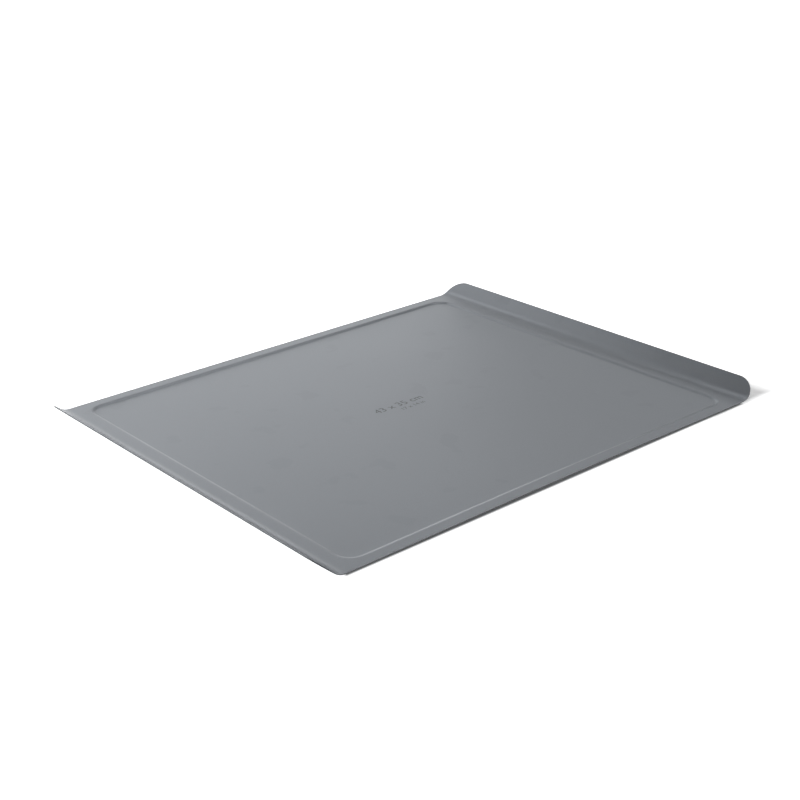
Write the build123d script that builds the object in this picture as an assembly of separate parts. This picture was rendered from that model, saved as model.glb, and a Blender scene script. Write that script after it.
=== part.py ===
from build123d import *
from math import cos, radians, sin
import os

# Cookie sheet: one steel blank, pressed with a shallow baking panel and bent up into a wide lip at
# each short end, with a nonstick coating baked on both faces. Lengths are in millimetres, Z is up,
# X runs from lip to lip, and the origin is the middle of the face that rests on the oven rack.

# Whole sheet
overall_length = 435.9
overall_width = 355.9
blank_corner_radius = 17.7

# Layers, from the middle of the metal outwards
steel_thickness = 0.8
food_coating_thickness = 0.05
underside_coating_thickness = 0.05

# Baking panel, measured between the middles of its step, and how far it lies below the border
panel_length = 377.4
panel_width = 333.8
panel_corner_radius = 12.3
panel_depth = 1.3

# The step round the panel is two bends of one radius, given at mid thickness of the steel
step_bend_radius = 4.0

# Lips: the bend at mid thickness of the steel, its angle, and the flat above it
lip_bend_radius = 13.8
lip_angle = 41.1
lip_flat = 12.9

# How far a cutting or trimming shape runs past what it cuts
overrun = 5.0

# The panel's four sides, by the direction that each one faces, in degrees from +X
quarter_turn = 90
side_headings = [side * quarter_turn for side in range(4)]

# Heights from mid thickness of the steel, up for the food side and down for the underside
steel_top = steel_thickness / 2
steel_bottom = -steel_thickness / 2
coated_top = steel_top + food_coating_thickness
coated_bottom = steel_bottom - underside_coating_thickness

# Height of mid thickness over the resting face, in the panel and in the border
panel_level = -coated_bottom
border_level = panel_level + panel_depth

# The step leaves the panel and meets the border level; its two arcs turn through one angle
step_cosine = 1 - panel_depth / (2 * step_bend_radius)
step_sine = (1 - step_cosine**2) ** 0.5
step_reach = step_bend_radius * step_sine

# The lip's lowest corner is its furthest point, which places the start of the bend
lip_cosine = cos(radians(lip_angle))
lip_sine = sin(radians(lip_angle))
lip_reach = (lip_bend_radius - coated_bottom) * lip_sine + lip_flat * lip_cosine
lip_start = overall_length / 2 - lip_reach


def step_surface(offset):
    """The step's two arcs, from the panel up to the border, at this height from mid thickness."""
    crossing = (-offset * step_sine, panel_depth / 2 + offset * step_cosine)
    half_sine = ((1 - step_cosine) / 2) ** 0.5
    half_cosine = ((1 + step_cosine) / 2) ** 0.5
    lower_radius = step_bend_radius - offset
    upper_radius = step_bend_radius + offset
    lower_middle = (
        -step_reach + lower_radius * half_sine,
        step_bend_radius - lower_radius * half_cosine,
    )
    upper_middle = (
        step_reach - upper_radius * half_sine,
        panel_depth - step_bend_radius + upper_radius * half_cosine,
    )
    lower = ThreePointArc((-step_reach, offset), lower_middle, crossing)
    upper = ThreePointArc(crossing, upper_middle, (step_reach, panel_depth + offset))
    return lower, upper


def step_section(bottom, top):
    """The step's cross-section: outwards is local X, up is local Y."""
    inner_end = Line((-step_reach, bottom), (-step_reach, top))
    outer_end = Line((step_reach, panel_depth + top), (step_reach, panel_depth + bottom))
    outline = [inner_end, *step_surface(top), outer_end, *step_surface(bottom)]
    return make_face(Wire(outline).edges())


def section_plane(x, y, heading):
    """An upright plane whose local X points along heading, in degrees from +X."""
    across = (cos(radians(heading)), sin(radians(heading)), 0)
    normal = (sin(radians(heading)), -cos(radians(heading)), 0)
    return Plane(origin=(x, y, panel_level), x_dir=across, z_dir=normal)


def step_sides(bottom, top):
    """The four straight runs of the step."""
    section = step_section(bottom, top)
    runs = []
    half_length = panel_length / 2
    half_width = panel_width / 2
    reaches = ((half_length, half_width), (half_width, half_length)) * 2
    for heading, (distance, half_run) in zip(side_headings, reaches):
        x = distance * cos(radians(heading))
        y = distance * sin(radians(heading))
        face = section_plane(x, y, heading) * section
        runs.append(extrude(face, amount=half_run - panel_corner_radius, both=True))
    return runs


def step_corners(bottom, top):
    """The four quarter turns of the step."""
    section = step_section(bottom, top)
    half_x = panel_length / 2 - panel_corner_radius
    half_y = panel_width / 2 - panel_corner_radius
    turns = []
    corners = ((half_x, half_y), (-half_x, half_y), (-half_x, -half_y), (half_x, -half_y))
    for heading, (x, y) in zip(side_headings, corners):
        start_x = x + panel_corner_radius * cos(radians(heading))
        start_y = y + panel_corner_radius * sin(radians(heading))
        face = section_plane(start_x, start_y, heading) * section
        turns.append(revolve(face, Axis((x, y, 0), (0, 0, 1)), quarter_turn))
    return turns


def panel_prism(grow, low, high):
    """An upright block over the panel's outline, grown outwards by grow."""
    outline = RectangleRounded(
        panel_length + 2 * grow,
        panel_width + 2 * grow,
        panel_corner_radius + grow,
    )
    return Pos(0, 0, low) * extrude(outline, amount=high - low)


def lip_surface(offset, side):
    """The bend and the flat of one lip, outwards from the border, at this height from mid thickness."""
    radius = lip_bend_radius - offset
    half = radians(lip_angle / 2)
    flat = lip_flat + overrun
    middle = (lip_start + radius * sin(half), lip_bend_radius - radius * cos(half))
    bend_end = (lip_start + radius * lip_sine, lip_bend_radius - radius * lip_cosine)
    flat_end = (bend_end[0] + flat * lip_cosine, bend_end[1] + flat * lip_sine)
    points = [(lip_start, offset), middle, bend_end, flat_end]
    return [(side * x, border_level + z) for x, z in points]


def border_and_lips(bottom, top):
    """The border plate with both lips, untrimmed, before the panel is let in."""
    right_top = lip_surface(top, 1)
    right_bottom = lip_surface(bottom, 1)
    left_top = lip_surface(top, -1)
    left_bottom = lip_surface(bottom, -1)
    outline = [
        Line(left_top[0], right_top[0]),
        ThreePointArc(*right_top[:3]),
        Line(right_top[2], right_top[3]),
        Line(right_top[3], right_bottom[3]),
        Line(right_bottom[3], right_bottom[2]),
        ThreePointArc(*right_bottom[2::-1]),
        Line(right_bottom[0], left_bottom[0]),
        ThreePointArc(*left_bottom[:3]),
        Line(left_bottom[2], left_bottom[3]),
        Line(left_bottom[3], left_top[3]),
        Line(left_top[3], left_top[2]),
        ThreePointArc(*left_top[2::-1]),
    ]
    section = Plane.XZ * make_face(Wire(outline).edges())
    return extrude(section, amount=overall_width / 2 + overrun, both=True)


def blank_prism():
    """The blank's outline as a block, square to the +X lip, with the two corners of that end rounded."""
    tip_x = lip_start + lip_bend_radius * lip_sine + lip_flat * lip_cosine
    tip_z = border_level + lip_bend_radius * (1 - lip_cosine) + lip_flat * lip_sine
    in_lip = Plane(
        origin=(tip_x, 0, tip_z),
        x_dir=(lip_cosine, 0, lip_sine),
        z_dir=(-lip_sine, 0, lip_cosine),
    )
    depth = overall_length + overrun
    outline = Pos(-depth / 2, 0) * Rectangle(depth, overall_width)
    ends = outline.vertices().group_by(Axis.X)[-1]
    return extrude(in_lip * fillet(ends, blank_corner_radius), amount=depth, both=True)


def blank_outline():
    """The blank's whole outline: what both ends' blocks share."""
    near_end = blank_prism()
    return near_end & mirror(near_end, Plane.YZ)


def layer(bottom, top):
    """One full layer of the sheet, between two heights from mid thickness."""
    frame = border_and_lips(bottom, top) & blank_outline()
    frame -= panel_prism(step_reach, panel_level + bottom - overrun, border_level + top + overrun)
    panel = panel_prism(-step_reach, panel_level + bottom, panel_level + top)
    whole = frame + [panel, *step_sides(bottom, top), *step_corners(bottom, top)]
    return whole.clean()


def steel_sheet():
    """The pressed steel blank."""
    return layer(steel_bottom, steel_top)


def food_side_coating():
    """The nonstick coating on the face that carries the food."""
    return layer(steel_top, coated_top)


def underside_coating():
    """The nonstick coating on the face that rests on the rack."""
    return layer(coated_bottom, steel_bottom)


nodes = {
    "steel_sheet": steel_sheet(),
    "food_side_coating": food_side_coating(),
    "underside_coating": underside_coating(),
}

os.makedirs("parts", exist_ok=True)
for name, shape in nodes.items():
    export_step(shape, f"parts/{name}.step")
    print(name, len(shape.solids()), "solid, volume", round(shape.volume, 1), "mm3")
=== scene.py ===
import math

import bpy
import numpy as np
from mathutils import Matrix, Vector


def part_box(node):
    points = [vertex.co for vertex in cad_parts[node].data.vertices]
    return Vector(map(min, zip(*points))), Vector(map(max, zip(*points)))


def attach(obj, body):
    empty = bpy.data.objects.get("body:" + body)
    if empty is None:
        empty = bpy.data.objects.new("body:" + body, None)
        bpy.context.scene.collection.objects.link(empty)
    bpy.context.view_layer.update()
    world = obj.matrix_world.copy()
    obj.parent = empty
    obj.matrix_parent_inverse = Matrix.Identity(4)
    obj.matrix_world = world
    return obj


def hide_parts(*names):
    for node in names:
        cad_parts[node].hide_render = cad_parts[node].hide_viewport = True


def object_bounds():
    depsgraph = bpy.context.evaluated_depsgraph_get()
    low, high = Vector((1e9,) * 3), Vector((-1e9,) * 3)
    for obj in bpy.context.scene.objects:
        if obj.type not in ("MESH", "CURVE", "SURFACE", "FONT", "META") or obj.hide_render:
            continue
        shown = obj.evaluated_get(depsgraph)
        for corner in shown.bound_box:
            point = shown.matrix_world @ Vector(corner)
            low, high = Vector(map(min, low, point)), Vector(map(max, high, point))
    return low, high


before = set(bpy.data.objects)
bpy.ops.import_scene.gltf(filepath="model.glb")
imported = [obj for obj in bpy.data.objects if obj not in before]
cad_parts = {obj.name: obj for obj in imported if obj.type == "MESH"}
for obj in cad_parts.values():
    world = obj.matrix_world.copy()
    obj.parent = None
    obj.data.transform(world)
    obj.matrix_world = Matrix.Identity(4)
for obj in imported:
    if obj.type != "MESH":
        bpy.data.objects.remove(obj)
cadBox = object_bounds()
print("frame loaded:", ", ".join(sorted(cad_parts)))

# Cookie sheet: a pressed steel blank with a nonstick coating on both faces. All lengths are in
# metres, X runs from lip to lip, Z is up, and the sheet rests on Z = 0.

mm = 0.001


# Colour and material helpers

# A hex colour as linear light: each channel is ((c + 0.055) / 1.055) ^ 2.4, or c / 12.92 when dark.
def toLinear(hexColour, alpha=1.0):
    channels = np.array([int(hexColour[i:i + 2], 16) for i in (1, 3, 5)]) / 255.0
    dark = channels / 12.92
    light = ((channels + 0.055) / 1.055) ** 2.4
    return (*np.where(channels <= 0.04045, dark, light).tolist(), alpha)


# Adds one node, sets its properties and input values, and links the inputs given as sockets. It
# returns the output that is asked for, or else the node.
def addNode(tree, kind, inputs=None, output=None, **settings):
    node = tree.nodes.new(kind)
    for name, value in settings.items():
        setattr(node, name, value)
    for key, value in (inputs or {}).items():
        if isinstance(value, bpy.types.NodeSocket):
            tree.links.new(value, node.inputs[key])
        else:
            node.inputs[key].default_value = value
    return node.outputs[output] if output else node


# An empty node material, and the tree to fill.
def newMaterial(name):
    material = bpy.data.materials.new(name)
    material.use_nodes = True
    tree = material.node_tree
    tree.nodes.clear()
    return material, tree


# The sheet's form

# Thicknesses come from the frame: each layer's lowest point in the panel is the height it starts at.
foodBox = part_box("food_side_coating")
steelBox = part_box("steel_sheet")
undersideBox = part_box("underside_coating")

sheet = {
    "length": cadBox[1][0] - cadBox[0][0],
    "width": cadBox[1][1] - cadBox[0][1],
    "undersideThickness": steelBox[0].z - undersideBox[0].z,
    "steelThickness": foodBox[0].z - steelBox[0].z,
    "foodThickness": 0.05 * mm,
    "cornerRadius": 17.7 * mm,  # in the flat blank
    "panelLength": 377.4 * mm,  # between the middles of the step
    "panelWidth": 333.8 * mm,
    "panelCorner": 12.3 * mm,
    "panelDepth": 1.3 * mm,
    "stepRadius": 4.0 * mm,  # both bends of the step, at mid thickness
    "lipRadius": 13.8 * mm,
    "lipAngle": math.radians(41.1),
    "lipFlat": 12.9 * mm,
    "dieRoll": 0.1 * mm,  # how far the blanking die rounds the upper edge down
    "dieRollWidth": 0.25 * mm,
}

# Heights of the layers' faces from mid thickness of the steel.
steelTop = sheet["steelThickness"] / 2
steelBottom = -sheet["steelThickness"] / 2
coatedTop = steelTop + sheet["foodThickness"]
coatedBottom = steelBottom - sheet["undersideThickness"]
borderLevel = -coatedBottom + sheet["panelDepth"]

# The step's two arcs turn through one angle: cos = 1 - depth / (2 radius).
stepAngle = math.acos(1 - sheet["panelDepth"] / (2 * sheet["stepRadius"]))
stepReach = sheet["stepRadius"] * math.sin(stepAngle)

# The lip's lower edge is the furthest point, which places the start of its bend.
bendReach = (sheet["lipRadius"] - coatedBottom) * math.sin(sheet["lipAngle"])
lipReach = bendReach + sheet["lipFlat"] * math.cos(sheet["lipAngle"])
lipStart = sheet["length"] / 2 - lipReach
bendLength = sheet["lipRadius"] * sheet["lipAngle"]
blankHalfLength = lipStart + bendLength + sheet["lipFlat"]
blankHalfWidth = sheet["width"] / 2

meshing = {
    "cornerSteps": 9,  # in each half of a corner's arc
    "alongSteps": 110,  # straight part of a long side
    "acrossSteps": 90,
    "crowding": 0.72,  # share by which straight steps shorten towards the corners
    "borderSteps": 30,
    "stepSteps": 6,  # in each of the step's two arcs
    "panelInset": 24.0 * mm,  # where the rings round the panel give way to a plain grid
    "panelSteps": 5,
    "wallSteps": 6,  # through the thickness, at the cut edge
    "edgeInsets": [0.0, 0.02 * mm, 0.06 * mm, 0.12 * mm, 0.18 * mm, 0.25 * mm, 0.6 * mm],
    "farInside": 1.0,  # stands for the distance from the cut edge all over the panel's grid
}


# Positions along one side, from -1 at one corner's middle to 1 at the next. The straight part holds
# the middle half, with its steps shortened towards the ends by a sine.
def sideLines(steps):
    even = np.linspace(-1, 1, steps + 1)
    crowd = meshing["crowding"]
    straight = 0.5 * ((1 - crowd) * even + crowd * np.sin(even * math.pi / 2))
    arc = 0.5 + 0.5 * np.arange(1, meshing["cornerSteps"] + 1) / meshing["cornerSteps"]
    return np.concatenate([-arc[::-1], straight, arc])


alongLines = sideLines(meshing["alongSteps"])
acrossLines = sideLines(meshing["acrossSteps"])


# The edge of the square grid of lines, walked once round from its lowest corner.
def loopLines():
    low = -np.ones(1)
    bottom = np.stack([alongLines[:-1], low.repeat(len(alongLines) - 1)], 1)
    right = np.stack([-low.repeat(len(acrossLines) - 1), acrossLines[:-1]], 1)
    return np.concatenate([bottom, right, -bottom, -right])


loop = loopLines()
loopCount = len(loop)


# Points round a rounded rectangle, one for each point of the loop. On a side, the middle half is
# straight, and the rest turns by up to 45 degrees round the corner's centre.
def roundedLoop(halfLength, halfWidth, radius):
    onEnd = np.abs(loop[:, 0]) >= 1  # on the +X or -X side
    place = np.where(onEnd, loop[:, 1], loop[:, 0])
    share = np.abs(place)
    turn = np.clip(2 * share - 1, 0, 1) * math.pi / 4
    reach = np.where(onEnd, halfWidth, halfLength) - radius
    along = np.minimum(2 * share, 1) * reach + radius * np.sin(turn)
    out = np.where(onEnd, halfLength, halfWidth) - radius + radius * np.cos(turn)
    along = along * np.sign(place)
    x = np.where(onEnd, out * np.sign(loop[:, 0]), along)
    y = np.where(onEnd, along, out * np.sign(loop[:, 1]))
    return np.stack([x, y], 1)


# The plain grid's own lines: the middle half of a side spans all but the corner margin.
def gridLines(lines, half, margin):
    share = np.abs(lines)
    inner = np.minimum(2 * share, 1) * (half - margin)
    return np.sign(lines) * (inner + np.clip(2 * share - 1, 0, 1) * margin)


# The same points on the grid's rectangular edge.
def squareLoop(halfLength, halfWidth, margin):
    corner = np.abs(loop) >= 1
    x = gridLines(loop[:, 0], halfLength, margin)
    y = gridLines(loop[:, 1], halfWidth, margin)
    return np.stack([np.where(corner[:, 0], np.sign(loop[:, 0]) * halfLength, x),
                     np.where(corner[:, 1], np.sign(loop[:, 1]) * halfWidth, y)], 1)


# Rings from the cut edge to the panel's grid. Each ring is its loop of points in the flat blank, the
# slope of the surface across it, and its rise over the panel. On the step the slope is the angle that
# an arc has turned through, and the rise changes by radius * (1 - cos angle).
def sheetRings():
    halfLength = sheet["panelLength"] / 2
    halfWidth = sheet["panelWidth"] / 2
    corner = sheet["panelCorner"]
    depth = sheet["panelDepth"]
    radius = sheet["stepRadius"]
    rings = []
    for inset in meshing["edgeInsets"]:
        points = roundedLoop(blankHalfLength - inset, blankHalfWidth - inset,
                             sheet["cornerRadius"] - inset)
        rings.append((points, 0.0, depth))
    outer = rings[-1][0]
    inner = roundedLoop(halfLength + stepReach, halfWidth + stepReach, corner + stepReach)
    for share in np.linspace(0, 1, meshing["borderSteps"] + 1)[1:]:
        rings.append(((1 - share) * outer + share * inner, 0.0, depth))
    angles = np.linspace(0, stepAngle, meshing["stepSteps"] + 1)[1:]
    for angle in angles:  # from the border down to the middle of the step
        reach = stepReach - radius * math.sin(angle)
        points = roundedLoop(halfLength + reach, halfWidth + reach, corner + reach)
        rings.append((points, angle, depth - radius * (1 - math.cos(angle))))
    for angle in angles[-2::-1].tolist() + [0.0]:  # and on to the panel
        reach = radius * math.sin(angle) - stepReach
        points = roundedLoop(halfLength + reach, halfWidth + reach, corner + reach)
        rings.append((points, angle, radius * (1 - math.cos(angle))))
    rim = rings[-1][0]
    inset = meshing["panelInset"]
    square = squareLoop(halfLength - inset, halfWidth - inset, inset)
    for share in np.linspace(0, 1, meshing["panelSteps"] + 1)[1:]:
        rings.append(((1 - share) * rim + share * square, 0.0, 0.0))
    return rings


rings = sheetRings()


# How far a point of the flat blank lies inside the cut edge: the distance to a rounded rectangle.
def edgeDistance(points):
    radius = sheet["cornerRadius"]
    inside = np.array([blankHalfLength, blankHalfWidth]) - radius
    over = np.abs(points) - inside
    outside = np.linalg.norm(np.maximum(over, 0), axis=1)
    return radius - outside - np.minimum(over.max(1), 0)


# Raises the sheet where it doesn't quite lie flat: a long low arch at the middle of the -Y edge that
# dies out across the panel, as (1 - (x / half)^2)^2 times a smooth ramp towards that edge.
warp = {"rise": 1.45 * mm, "spread": 120.0 * mm}


def warpHeight(x, y):
    along = np.clip(1 - (x / (sheet["length"] / 2)) ** 2, 0, 1) ** 2
    ramp = np.clip((-y - blankHalfWidth + warp["spread"]) / warp["spread"], 0, 1)
    return warp["rise"] * along * ramp ** 2


# Places points of the blank, given with their height over the border's mid thickness, on the formed
# sheet. Past the start of the bend a point turns round the bend's centre by (s - start) / radius, at
# radius - height from it, and past the bend it runs straight up the lip.
def formSheet(s, y, height):
    past = np.maximum(np.abs(s) - lipStart, 0)
    turn = np.minimum(past / sheet["lipRadius"], sheet["lipAngle"])
    flat = np.maximum(past - bendLength, 0)
    radius = sheet["lipRadius"] - height
    x = np.minimum(np.abs(s), lipStart) + radius * np.sin(turn) + flat * math.cos(sheet["lipAngle"])
    z = borderLevel + sheet["lipRadius"] - radius * np.cos(turn) + flat * math.sin(sheet["lipAngle"])
    x = x * np.sign(s)
    return np.stack([x, y, z + warpHeight(x, y)], 1)


# One face of a layer, at this height from mid thickness: the rings and the panel's grid as points of
# the formed sheet. On the step a point moves out along the slope's normal, sideways by height times
# the sine and up by height times the cosine. Near the cut edge the die roll bends the upper layers
# down along a quarter ellipse, by a share that grows from none at the underside to all at the top.
def facePoints(height):
    roll = sheet["dieRoll"] * (height - coatedBottom) / (coatedTop - coatedBottom)
    points = []
    for ring, slope, rise in rings:
        onward = np.roll(ring, -1, 0) - np.roll(ring, 1, 0)
        outward = np.stack([onward[:, 1], -onward[:, 0]], 1)
        outward /= np.linalg.norm(outward, axis=1)[:, None]
        moved = ring - outward * height * math.sin(slope)
        distance = edgeDistance(ring)
        bend = np.clip(1 - distance / sheet["dieRollWidth"], 0, 1)
        drop = roll * (1 - np.sqrt(1 - bend ** 2))
        lift = rise - sheet["panelDepth"] + height * math.cos(slope) - drop
        points.append(formSheet(moved[:, 0], moved[:, 1], lift))
    return np.concatenate(points), gridPoints(height)


# The panel's plain grid inside the rings, without its own edge, which the last ring holds.
def gridPoints(height):
    inset = meshing["panelInset"]
    x = gridLines(alongLines, sheet["panelLength"] / 2 - inset, inset)[1:-1]
    y = gridLines(acrossLines, sheet["panelWidth"] / 2 - inset, inset)[1:-1]
    gridX, gridY = (part.ravel() for part in np.meshgrid(x, y, indexing="ij"))
    return formSheet(gridX, gridY, np.full(gridX.size, height - sheet["panelDepth"]))


# Quads between neighbouring rings, then the grid's quads. A grid point on the edge is a point of the
# last ring, which an index table of the whole grid looks up.
def faceQuads():
    ringCount = len(rings)
    start = np.arange(ringCount - 1)[:, None] * loopCount
    here = start + np.arange(loopCount)[None, :]
    following = start + np.roll(np.arange(loopCount), -1)[None, :]
    across = np.stack([here, following, following + loopCount, here + loopCount], -1)
    columns = len(alongLines)
    rows = len(acrossLines)
    table = np.zeros((columns, rows), int)
    inside = np.arange((columns - 2) * (rows - 2)).reshape(columns - 2, rows - 2)
    table[1:-1, 1:-1] = ringCount * loopCount + inside
    last = (ringCount - 1) * loopCount + np.arange(loopCount)
    bottomEnd = columns - 1
    rightEnd = bottomEnd + rows - 1
    topEnd = rightEnd + columns - 1
    table[:-1, 0] = last[:bottomEnd]
    table[-1, :-1] = last[bottomEnd:rightEnd]
    table[:0:-1, -1] = last[rightEnd:topEnd]
    table[0, :0:-1] = last[topEnd:]
    grid = np.stack([table[:-1, :-1], table[1:, :-1], table[1:, 1:], table[:-1, 1:]], -1)
    return np.concatenate([across.reshape(-1, 4), grid.reshape(-1, 4)])


quads = faceQuads()


# A mesh object from whole arrays of points and quads, smooth, at the origin.
def meshObject(name, points, faces, material):
    mesh = bpy.data.meshes.new(name)
    mesh.vertices.add(len(points))
    mesh.vertices.foreach_set("co", points.astype(np.float32).ravel())
    mesh.loops.add(faces.size)
    mesh.loops.foreach_set("vertex_index", faces.astype(np.int32).ravel())
    mesh.polygons.add(len(faces))
    mesh.polygons.foreach_set("loop_start", np.arange(0, faces.size, 4, dtype=np.int32))
    mesh.polygons.foreach_set("use_smooth", np.ones(len(faces), bool))
    mesh.update(calc_edges=True)
    mesh.validate()
    mesh.materials.append(material)
    piece = bpy.data.objects.new(name, mesh)
    bpy.context.scene.collection.objects.link(piece)
    return piece


# Stores one number per point on a mesh, for its material to read.
def storeNumbers(piece, name, values):
    attribute = piece.data.attributes.new(name, "FLOAT", "POINT")
    attribute.data.foreach_set("value", values.astype(np.float32))


# One layer as a closed shell: its upper face, its lower face turned over, and the cut edge between,
# whose points are (1 - share) * upper + share * lower in steps through the thickness.
def layerPiece(name, low, high, material, node):
    upperRings, upperGrid = facePoints(high)
    lowerRings, lowerGrid = facePoints(low)
    upper = np.concatenate([upperRings, upperGrid])
    lower = np.concatenate([lowerRings, lowerGrid])
    steps = meshing["wallSteps"]
    shares = np.linspace(0, 1, steps + 1)[1:-1, None, None]
    wall = (1 - shares) * upperRings[None, :loopCount] + shares * lowerRings[None, :loopCount]
    points = np.concatenate([upper, lower, wall.reshape(-1, 3)])
    here = np.arange(loopCount)
    following = np.roll(here, -1)
    starts = [0] + [2 * len(upper) + step * loopCount for step in range(steps - 1)] + [len(upper)]
    walls = [np.stack([a + following, a + here, b + here, b + following], 1)
             for a, b in zip(starts, starts[1:])]
    faces = np.concatenate([quads, quads[:, ::-1] + len(upper), *walls])
    piece = meshObject(name, points, faces, material)
    flat = np.concatenate([edgeDistance(ring) for ring, slope, rise in rings])
    inner = np.full(len(upperGrid), meshing["farInside"])
    through = np.repeat(np.linspace(0, 1, steps + 1)[1:-1], loopCount)
    distances = np.concatenate([flat, inner, flat, inner, np.zeros(through.size)])
    depths = np.concatenate([np.zeros(len(upper)), np.ones(len(lower)), through])
    storeNumbers(piece, "edgeDistance", distances)
    storeNumbers(piece, "depth", depths)
    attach(piece, "root")
    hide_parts(node)
    print("layer made:", name, len(points), "points")


# Materials

coating = {
    "colour": "#868a8f",
    "undersideColour": "#787c81",
    "metallic": 0.85,
    "roughness": 0.43,
    "roughnessSpread": 0.01,  # either way in the clouds, and more in the smudges
    "peelSize": 1.6 * mm,  # orange peel of a sprayed film, a little coarser than real so that it shows
    "peelHeight": 0.002 * mm,
    "flakeSize": 0.5 * mm,  # clumps of the metallic flake, drawn about ten times as coarse as real
    "flakeShade": (0.96, 1.04),
    "cloudSize": 70 * mm,
    "cloudShade": (0.985, 1.015),
    "smudgeSize": 28 * mm,
    "smudgePlace": (0.37, 0.11, 0.0),  # which part of the noise falls on the sheet
    "smudgeContrast": 0.16,
    "smudgeFrom": 0.9,  # only the pattern's peaks are smudges
    "smudgeShade": 0.98,
    "wornWidth": 0.6 * mm,  # along the cut edge, where the film is thin and rubbed
    "wornSize": 3 * mm,  # length of the rub's ragged steps
    "wornRagged": (0.5, 2.2),
    "wornShade": 1.22,
}


# Uneven patches of this size over the piece: smooth noise, as a number between low and high that the
# middle of the noise, 0.5 - contrast to 0.5 + contrast, is spread over.
def patches(tree, size, low, high, detail=2.0, offset=(0.0, 0.0, 0.0), contrast=0.2):
    place = addNode(tree, "ShaderNodeTexCoord", output="Object")
    place = addNode(tree, "ShaderNodeVectorMath", {0: place, 1: offset}, "Vector", operation="ADD")
    noise = addNode(tree, "ShaderNodeTexNoise", {
        "Vector": place, "Scale": 1 / size, "Detail": detail, "Roughness": 0.45}, "Fac")
    return addNode(tree, "ShaderNodeMapRange", {
        "Value": noise, "From Min": 0.5 - contrast, "From Max": 0.5 + contrast,
        "To Min": low, "To Max": high}, "Result")


# A colour made darker or lighter by the product of some numbers: (red, green, blue) * product.
def shadeColour(tree, hexColour, numbers):
    product = numbers[0]
    for number in numbers[1:]:
        product = addNode(tree, "ShaderNodeMath", {0: product, 1: number}, "Value",
                          operation="MULTIPLY")
    return addNode(tree, "ShaderNodeVectorMath", {0: toLinear(hexColour)[:3], "Scale": product},
                   "Vector", operation="SCALE")


# Sprayed and cured nonstick coating with a fine metallic flake: a satin grey that mirrors broadly,
# with faint clouds where the film lies thicker, a few dull smudges from handling, fine flake grain,
# the low ripple of orange peel, and a lighter rub along the cut edge.
def flakeCoating(name, colour):
    material, tree = newMaterial(name)
    clouds = patches(tree, coating["cloudSize"], *coating["cloudShade"])
    grain = patches(tree, coating["flakeSize"], *coating["flakeShade"])
    smudge = patches(tree, coating["smudgeSize"], 0.0, 1.0, detail=3.0,
                     offset=coating["smudgePlace"], contrast=coating["smudgeContrast"])
    smudge = addNode(tree, "ShaderNodeMapRange", {
        "Value": smudge, "From Min": coating["smudgeFrom"], "From Max": 1.0}, "Result")
    dulled = addNode(tree, "ShaderNodeMapRange", {
        "Value": smudge, "To Min": 1.0, "To Max": coating["smudgeShade"]}, "Result")
    distance = addNode(tree, "ShaderNodeAttribute", None, "Fac", attribute_name="edgeDistance")
    ragged = patches(tree, coating["wornSize"], *coating["wornRagged"], detail=3.0)
    ragged = addNode(tree, "ShaderNodeMath", {0: distance, 1: ragged}, "Value", operation="MULTIPLY")
    worn = addNode(tree, "ShaderNodeMapRange", {
        "Value": ragged, "From Min": 0.0, "From Max": coating["wornWidth"],
        "To Min": coating["wornShade"], "To Max": 1.0}, "Result")
    spread = coating["roughnessSpread"]
    roughness = patches(tree, coating["cloudSize"], coating["roughness"] - spread,
                        coating["roughness"] + spread)
    roughness = addNode(tree, "ShaderNodeMath", {0: smudge, 1: spread, 2: roughness}, "Value",
                        operation="MULTIPLY_ADD")
    peel = patches(tree, coating["peelSize"], 0.0, 1.0, contrast=0.5)
    bump = addNode(tree, "ShaderNodeBump", {
        "Height": peel, "Distance": coating["peelHeight"], "Strength": 1.0}, "Normal")
    shader = addNode(tree, "ShaderNodeBsdfPrincipled", {
        "Base Color": shadeColour(tree, colour, [clouds, grain, dulled, worn]),
        "Metallic": coating["metallic"], "Roughness": roughness, "Normal": bump}, "BSDF")
    addNode(tree, "ShaderNodeOutputMaterial", {"Surface": shader})
    return material


cutEdge = {
    "colour": "#707376",
    "metallic": 0.9,
    "breakFrom": (0.3, 0.45),  # share of the thickness where the burnished band ends
    "roughness": (0.5, 0.65),  # burnished, and broken away
    "shade": (1.1, 0.8),
    "grainSize": 0.6 * mm,
    "grainShade": (0.85, 1.15),
}


# Sheared steel, bare where the blanking die cut it and dulled by oven heat: dark grey, a little
# brighter where the die burnished the upper third, rougher where the rest broke away.
def shearedSteel():
    material, tree = newMaterial("shearedSteel")
    depth = addNode(tree, "ShaderNodeAttribute", None, "Fac", attribute_name="depth")
    bands = {}
    for band in ("roughness", "shade"):
        bands[band] = addNode(tree, "ShaderNodeMapRange", {
            "Value": depth, "From Min": cutEdge["breakFrom"][0], "From Max": cutEdge["breakFrom"][1],
            "To Min": cutEdge[band][0], "To Max": cutEdge[band][1]}, "Result")
    grain = patches(tree, cutEdge["grainSize"], *cutEdge["grainShade"])
    shader = addNode(tree, "ShaderNodeBsdfPrincipled", {
        "Base Color": shadeColour(tree, cutEdge["colour"], [bands["shade"], grain]),
        "Metallic": cutEdge["metallic"], "Roughness": bands["roughness"]}, "BSDF")
    addNode(tree, "ShaderNodeOutputMaterial", {"Surface": shader})
    return material


foodCoat = flakeCoating("nonstickFlakeFood", coating["colour"])
undersideCoat = flakeCoating("nonstickFlakeUnderside", coating["undersideColour"])
steel = shearedSteel()
print("materials made")

layerPiece("foodCoat", steelTop, coatedTop, foodCoat, "food_side_coating")
layerPiece("steelBlank", steelBottom, steelTop, steel, "steel_sheet")
layerPiece("undersideCoat", coatedBottom, steelBottom, undersideCoat, "underside_coating")


# Size mark

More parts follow.
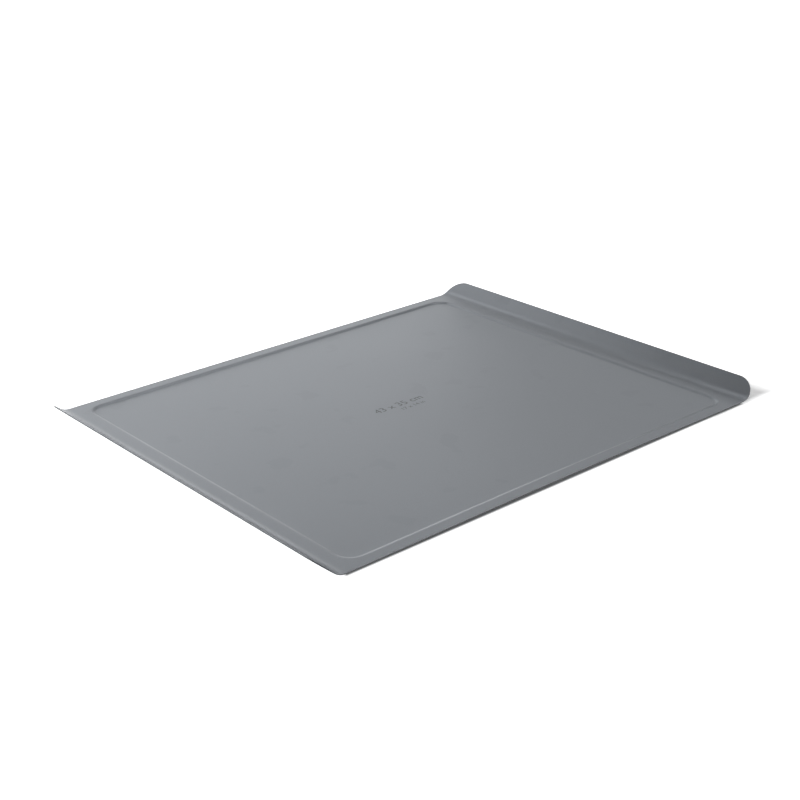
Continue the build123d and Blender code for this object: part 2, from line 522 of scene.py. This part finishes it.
# Plain size figures printed near the middle of the panel, which read along +X.
sizeMark = {
    "lines": [
        # words, height of a figure, and the left end of the line's foot, in mm
        ("43 x 35 cm", 7.4, -24.0, 2.6),
        ("17 x 14 in", 4.2, -5.0, -5.2),
    ],
    "fontHeight": 0.7,  # a figure's height in the font at size 1
    "lift": 0.015 * mm,
    "colour": "#56595c",
    "metallic": 0.3,
    "roughness": 0.55,
    "grainSize": 0.8 * mm,
    "grainShade": (0.8, 1.25),
}


# Stamping ink baked on the coating: flat dark grey with a little of the film's flake showing through,
# rougher than the film round it.
def stampingInk():
    material, tree = newMaterial("stampingInk")
    place = addNode(tree, "ShaderNodeTexCoord", output="Object")
    grain = addNode(tree, "ShaderNodeTexNoise", {
        "Vector": place, "Scale": 1 / sizeMark["grainSize"], "Detail": 2.0}, "Fac")
    grain = addNode(tree, "ShaderNodeMapRange", {
        "Value": grain, "From Min": 0.3, "From Max": 0.7,
        "To Min": sizeMark["grainShade"][0], "To Max": sizeMark["grainShade"][1]}, "Result")
    shader = addNode(tree, "ShaderNodeBsdfPrincipled", {
        "Base Color": shadeColour(tree, sizeMark["colour"], [grain]),
        "Metallic": sizeMark["metallic"], "Roughness": sizeMark["roughness"]}, "BSDF")
    addNode(tree, "ShaderNodeOutputMaterial", {"Surface": shader})
    return material


# One line of figures as flat faces on the panel: the font's outline times height / font height, and
# then moved to its place.
def figureLine(words, height, left, foot):
    curve = bpy.data.curves.new("figures", "FONT")
    curve.body = words
    letters = bpy.data.objects.new("figures", curve)
    mesh = bpy.data.meshes.new_from_object(letters)
    points = np.empty(3 * len(mesh.vertices))
    mesh.vertices.foreach_get("co", points)
    faces = [list(face.vertices) for face in mesh.polygons]
    bpy.data.objects.remove(letters)
    bpy.data.curves.remove(curve)
    bpy.data.meshes.remove(mesh)
    points = points.reshape(-1, 3) * height / sizeMark["fontHeight"] * mm
    points[:, :2] += np.array([left, foot]) * mm
    points[:, 2] = borderLevel - sheet["panelDepth"] + coatedTop + sizeMark["lift"]
    return points, faces


# The lines together as one mesh: the second line's faces count on from the first line's points.
def sizeMarkPiece():
    points = np.empty((0, 3))
    faces = []
    for line in sizeMark["lines"]:
        linePoints, lineFaces = figureLine(*line)
        faces += [[index + len(points) for index in face] for face in lineFaces]
        points = np.concatenate([points, linePoints])
    mesh = bpy.data.meshes.new("sizeMark")
    mesh.from_pydata(points.tolist(), [], faces)
    mesh.materials.append(stampingInk())
    piece = bpy.data.objects.new("sizeMark", mesh)
    bpy.context.scene.collection.objects.link(piece)
    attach(piece, "root")
    print("size mark made:", len(points), "points")


sizeMarkPiece()


# Stage

stage = {
    "floorSize": 12.0,
    "floorColour": "#ffffff",
    "glow": 1.0,  # the floor's own light, where 1 is white
    "paintedShadowGlow": 0.2,  # what is left of it in a painted shadow past the +X lip, over the real shadow the lamps cast there
    "shadowStart": (205 * mm, 150 * mm),  # X where it is dim, and back to where it is whole
    "shadowEnd": (228 * mm, 250 * mm),  # X where it is dim, and on to where it is whole
    "shadowSide": (174 * mm, 182 * mm),  # the same along Y, to either side
    "underSheetShadeFrom": (-1.0 * mm, 1.1 * mm),  # painted shade under the sheet: how far outside the sheet's foot the glow sets in
    "sky": 0.04,  # the world's brightness overhead, where 1 is white
    "horizon": 2.4,  # what the backdrop adds at the horizon
    "fade": 20.0,  # how fast that dies out with height
}


# Floor coordinates for its light: x, |y|, and how far a point lies outside the rectangle between the
# lips, as the larger of |x| - the lips' start and |y| - half the width, which is negative inside.
def floorPlace(tree):
    place = addNode(tree, "ShaderNodeTexCoord", output="Object")
    along = addNode(tree, "ShaderNodeSeparateXYZ", {"Vector": place}, "X")
    reach = addNode(tree, "ShaderNodeVectorMath", {0: place}, "Vector", operation="ABSOLUTE")
    aside = addNode(tree, "ShaderNodeSeparateXYZ", {"Vector": reach}, "Y")
    over = addNode(tree, "ShaderNodeVectorMath", {
        0: reach, 1: (lipStart, sheet["width"] / 2, 0.0)}, "Vector", operation="SUBTRACT")
    parts = addNode(tree, "ShaderNodeSeparateXYZ", {"Vector": over}).outputs
    outside = addNode(tree, "ShaderNodeMath", {0: parts["X"], 1: parts["Y"]}, "Value",
                      operation="MAXIMUM")
    return along, aside, outside


# How bright the floor's own light is, as a number: paintedShadowGlow in the painted shadow past the +X
# lip and glow outside it, times 0 under the sheet, a painted shade, and 1 beside it, times 1 for the
# rays that see it and 0 for the rest. It is clear of the painted shadow where any of three ramps along
# the floor says so.
def floorGlow(tree):
    along, aside, outside = floorPlace(tree)
    rays = addNode(tree, "ShaderNodeLightPath").outputs
    seen = 0.0
    for ray in ("Is Camera Ray", "Is Glossy Ray", "Is Transmission Ray"):
        seen = addNode(tree, "ShaderNodeMath", {0: seen, 1: rays[ray]}, "Value", operation="MAXIMUM")
    # Painted shadow: three ramps along the floor shape the dimmed zone past the +X lip.
    ramps = [(along, stage["shadowStart"]), (along, stage["shadowEnd"]), (aside, stage["shadowSide"])]
    clear = 0.0
    for value, (shaded, lit) in ramps:
        ramp = addNode(tree, "ShaderNodeMapRange", {
            "Value": value, "From Min": shaded, "From Max": lit}, "Result")
        clear = addNode(tree, "ShaderNodeMath", {0: clear, 1: ramp}, "Value", operation="MAXIMUM")
    strength = addNode(tree, "ShaderNodeMapRange", {
        "Value": clear, "To Min": stage["paintedShadowGlow"], "To Max": stage["glow"]}, "Result")
    # Painted shade: no glow under the sheet, so the floor seen under its edge stays dark.
    underSheetShade = addNode(tree, "ShaderNodeMapRange", {
        "Value": outside, "From Min": stage["underSheetShadeFrom"][0], "From Max": stage["underSheetShadeFrom"][1]}, "Result")
    for share in (underSheetShade, seen):
        strength = addNode(tree, "ShaderNodeMath", {0: strength, 1: share}, "Value",
                           operation="MULTIPLY")
    return strength


# A wide matt white floor. To the camera and to reflections it also has light of its own, as a white
# backdrop has: all of white, less in a painted shadow past the +X lip, and none under the sheet, a
# painted shade under its edge.
def makeFloor():
    half = stage["floorSize"] / 2
    corners = np.array([[-half, -half, 0], [half, -half, 0], [half, half, 0], [-half, half, 0]])
    material, tree = newMaterial("paleFloor")
    matt = addNode(tree, "ShaderNodeBsdfDiffuse", {"Color": toLinear(stage["floorColour"])}, "BSDF")
    glow = addNode(tree, "ShaderNodeEmission", {"Strength": floorGlow(tree)}, "Emission")
    both = addNode(tree, "ShaderNodeAddShader", {0: matt, 1: glow}, "Shader")
    addNode(tree, "ShaderNodeOutputMaterial", {"Surface": both})
    floor = meshObject("floor", corners, np.array([[0, 1, 2, 3]]), material)


# The world: an even grey with a pale backdrop low down, sky + horizon * exp(-fade * height), where
# the height is that of the direction's unit vector.
def makeWorld():
    world = bpy.data.worlds.new("studio")
    world.use_nodes = True
    tree = world.node_tree
    tree.nodes.clear()
    direction = addNode(tree, "ShaderNodeTexCoord", output="Generated")
    height = addNode(tree, "ShaderNodeSeparateXYZ", {"Vector": direction}, "Z")
    height = addNode(tree, "ShaderNodeMath", {0: height, 1: 0.0}, "Value", operation="MAXIMUM")
    power = addNode(tree, "ShaderNodeMath", {0: height, 1: -stage["fade"]}, "Value",
                    operation="MULTIPLY")
    fall = addNode(tree, "ShaderNodeMath", {0: power}, "Value", operation="EXPONENT")
    strength = addNode(tree, "ShaderNodeMath", {0: fall, 1: stage["horizon"], 2: stage["sky"]}, "Value",
                       operation="MULTIPLY_ADD")
    sky = addNode(tree, "ShaderNodeBackground", {"Color": toLinear("#ffffff"), "Strength": strength},
                  "Background")
    addNode(tree, "ShaderNodeOutputWorld", {"Surface": sky})
    bpy.context.scene.world = world


# Softboxes round the sheet, 2 m away, each turned to face its middle. Azimuth runs from +X towards
# +Y and elevation up from the floor, in degrees. Brightness is that of the face, where 1 is white.
softboxes = {
    # azimuth, elevation, width, height, brightness
    "backLow": (67, 7, 1.52, 0.3, 2.0),
    "backMiddle": (67, 20, 1.52, 0.42, 1.6),
    "backHigh": (67, 31, 1.5, 0.42, 1.15),
    "backTop": (88, 43, 0.8, 0.4, 3.3),
    "rightBox": (22, 25.5, 1.45, 0.8, 1.1),
    "leftBox": (135, 28, 1.2, 0.6, 5.0),
    "overheadBox": (30, 64, 1.0, 0.7, 2.65),
    "frontBox": (-45, 20, 1.5, 0.7, 1.8),
    "frontLow": (-128, 10, 1.2, 0.4, 0.3),
}
softboxDistance = 2.0


# An evenly bright face of area A sends out brightness * pi * A watts. It stands at distance times the
# unit vector of its azimuth and elevation, turned to look back along it.
def makeSoftbox(name, azimuth, elevation, width, height, brightness):
    light = bpy.data.lights.new(name, "AREA")
    light.shape = "RECTANGLE"
    light.size = width
    light.size_y = height
    light.energy = brightness * math.pi * width * height
    lamp = bpy.data.objects.new(name, light)
    turn = math.radians(azimuth)
    rise = math.radians(elevation)
    level = math.cos(rise)
    away = np.array([math.cos(turn) * level, math.sin(turn) * level, math.sin(rise)])
    lamp.location = away * softboxDistance
    lamp.rotation_euler = (math.pi / 2 - rise, 0, turn + math.pi / 2)
    bpy.context.scene.collection.objects.link(lamp)


# The camera stands where the photograph's does. Its azimuth turns from -Y towards +X.
camera = {
    "sensorWidth": 36.0,  # mm, as the lens is
    "lens": 66.04,
    "clipEnd": 100.0,
    "azimuth": math.radians(-39.78),
    "elevation": math.radians(23.04),
    "roll": math.radians(-1.42),
    "target": (7.85 * mm, 13.62 * mm, 0.0),
    "distance": 1178.0 * mm,
}


# The camera stands at target + back * distance, where back is the unit vector of its azimuth and
# elevation. Its right is level and its up square to both, and a roll turns the two about back.
def makeCamera():
    view = bpy.data.cameras.new("camera")
    view.sensor_width = camera["sensorWidth"]
    view.lens = camera["lens"]
    view.clip_end = camera["clipEnd"]
    eye = bpy.data.objects.new("camera", view)
    turn = camera["azimuth"]
    rise = camera["elevation"]
    level = math.cos(rise)
    back = np.array([math.sin(turn) * level, -math.cos(turn) * level, math.sin(rise)])
    right = np.cross(-back, [0, 0, 1])
    right /= np.linalg.norm(right)
    up = np.cross(right, -back)
    turnedRight = math.cos(camera["roll"]) * right + math.sin(camera["roll"]) * up
    turnedUp = math.cos(camera["roll"]) * up - math.sin(camera["roll"]) * right
    place = np.eye(4)
    place[:3, 0] = turnedRight
    place[:3, 1] = turnedUp
    place[:3, 2] = back
    place[:3, 3] = np.array(camera["target"]) + back * camera["distance"]
    eye.matrix_world = place.T.tolist()
    bpy.context.scene.collection.objects.link(eye)
    bpy.context.scene.camera = eye


makeFloor()
makeWorld()
for name, box in softboxes.items():
    makeSoftbox(name, *box)
makeCamera()
bpy.context.scene.view_settings.view_transform = "Standard"
print("stage, lamps and camera made")
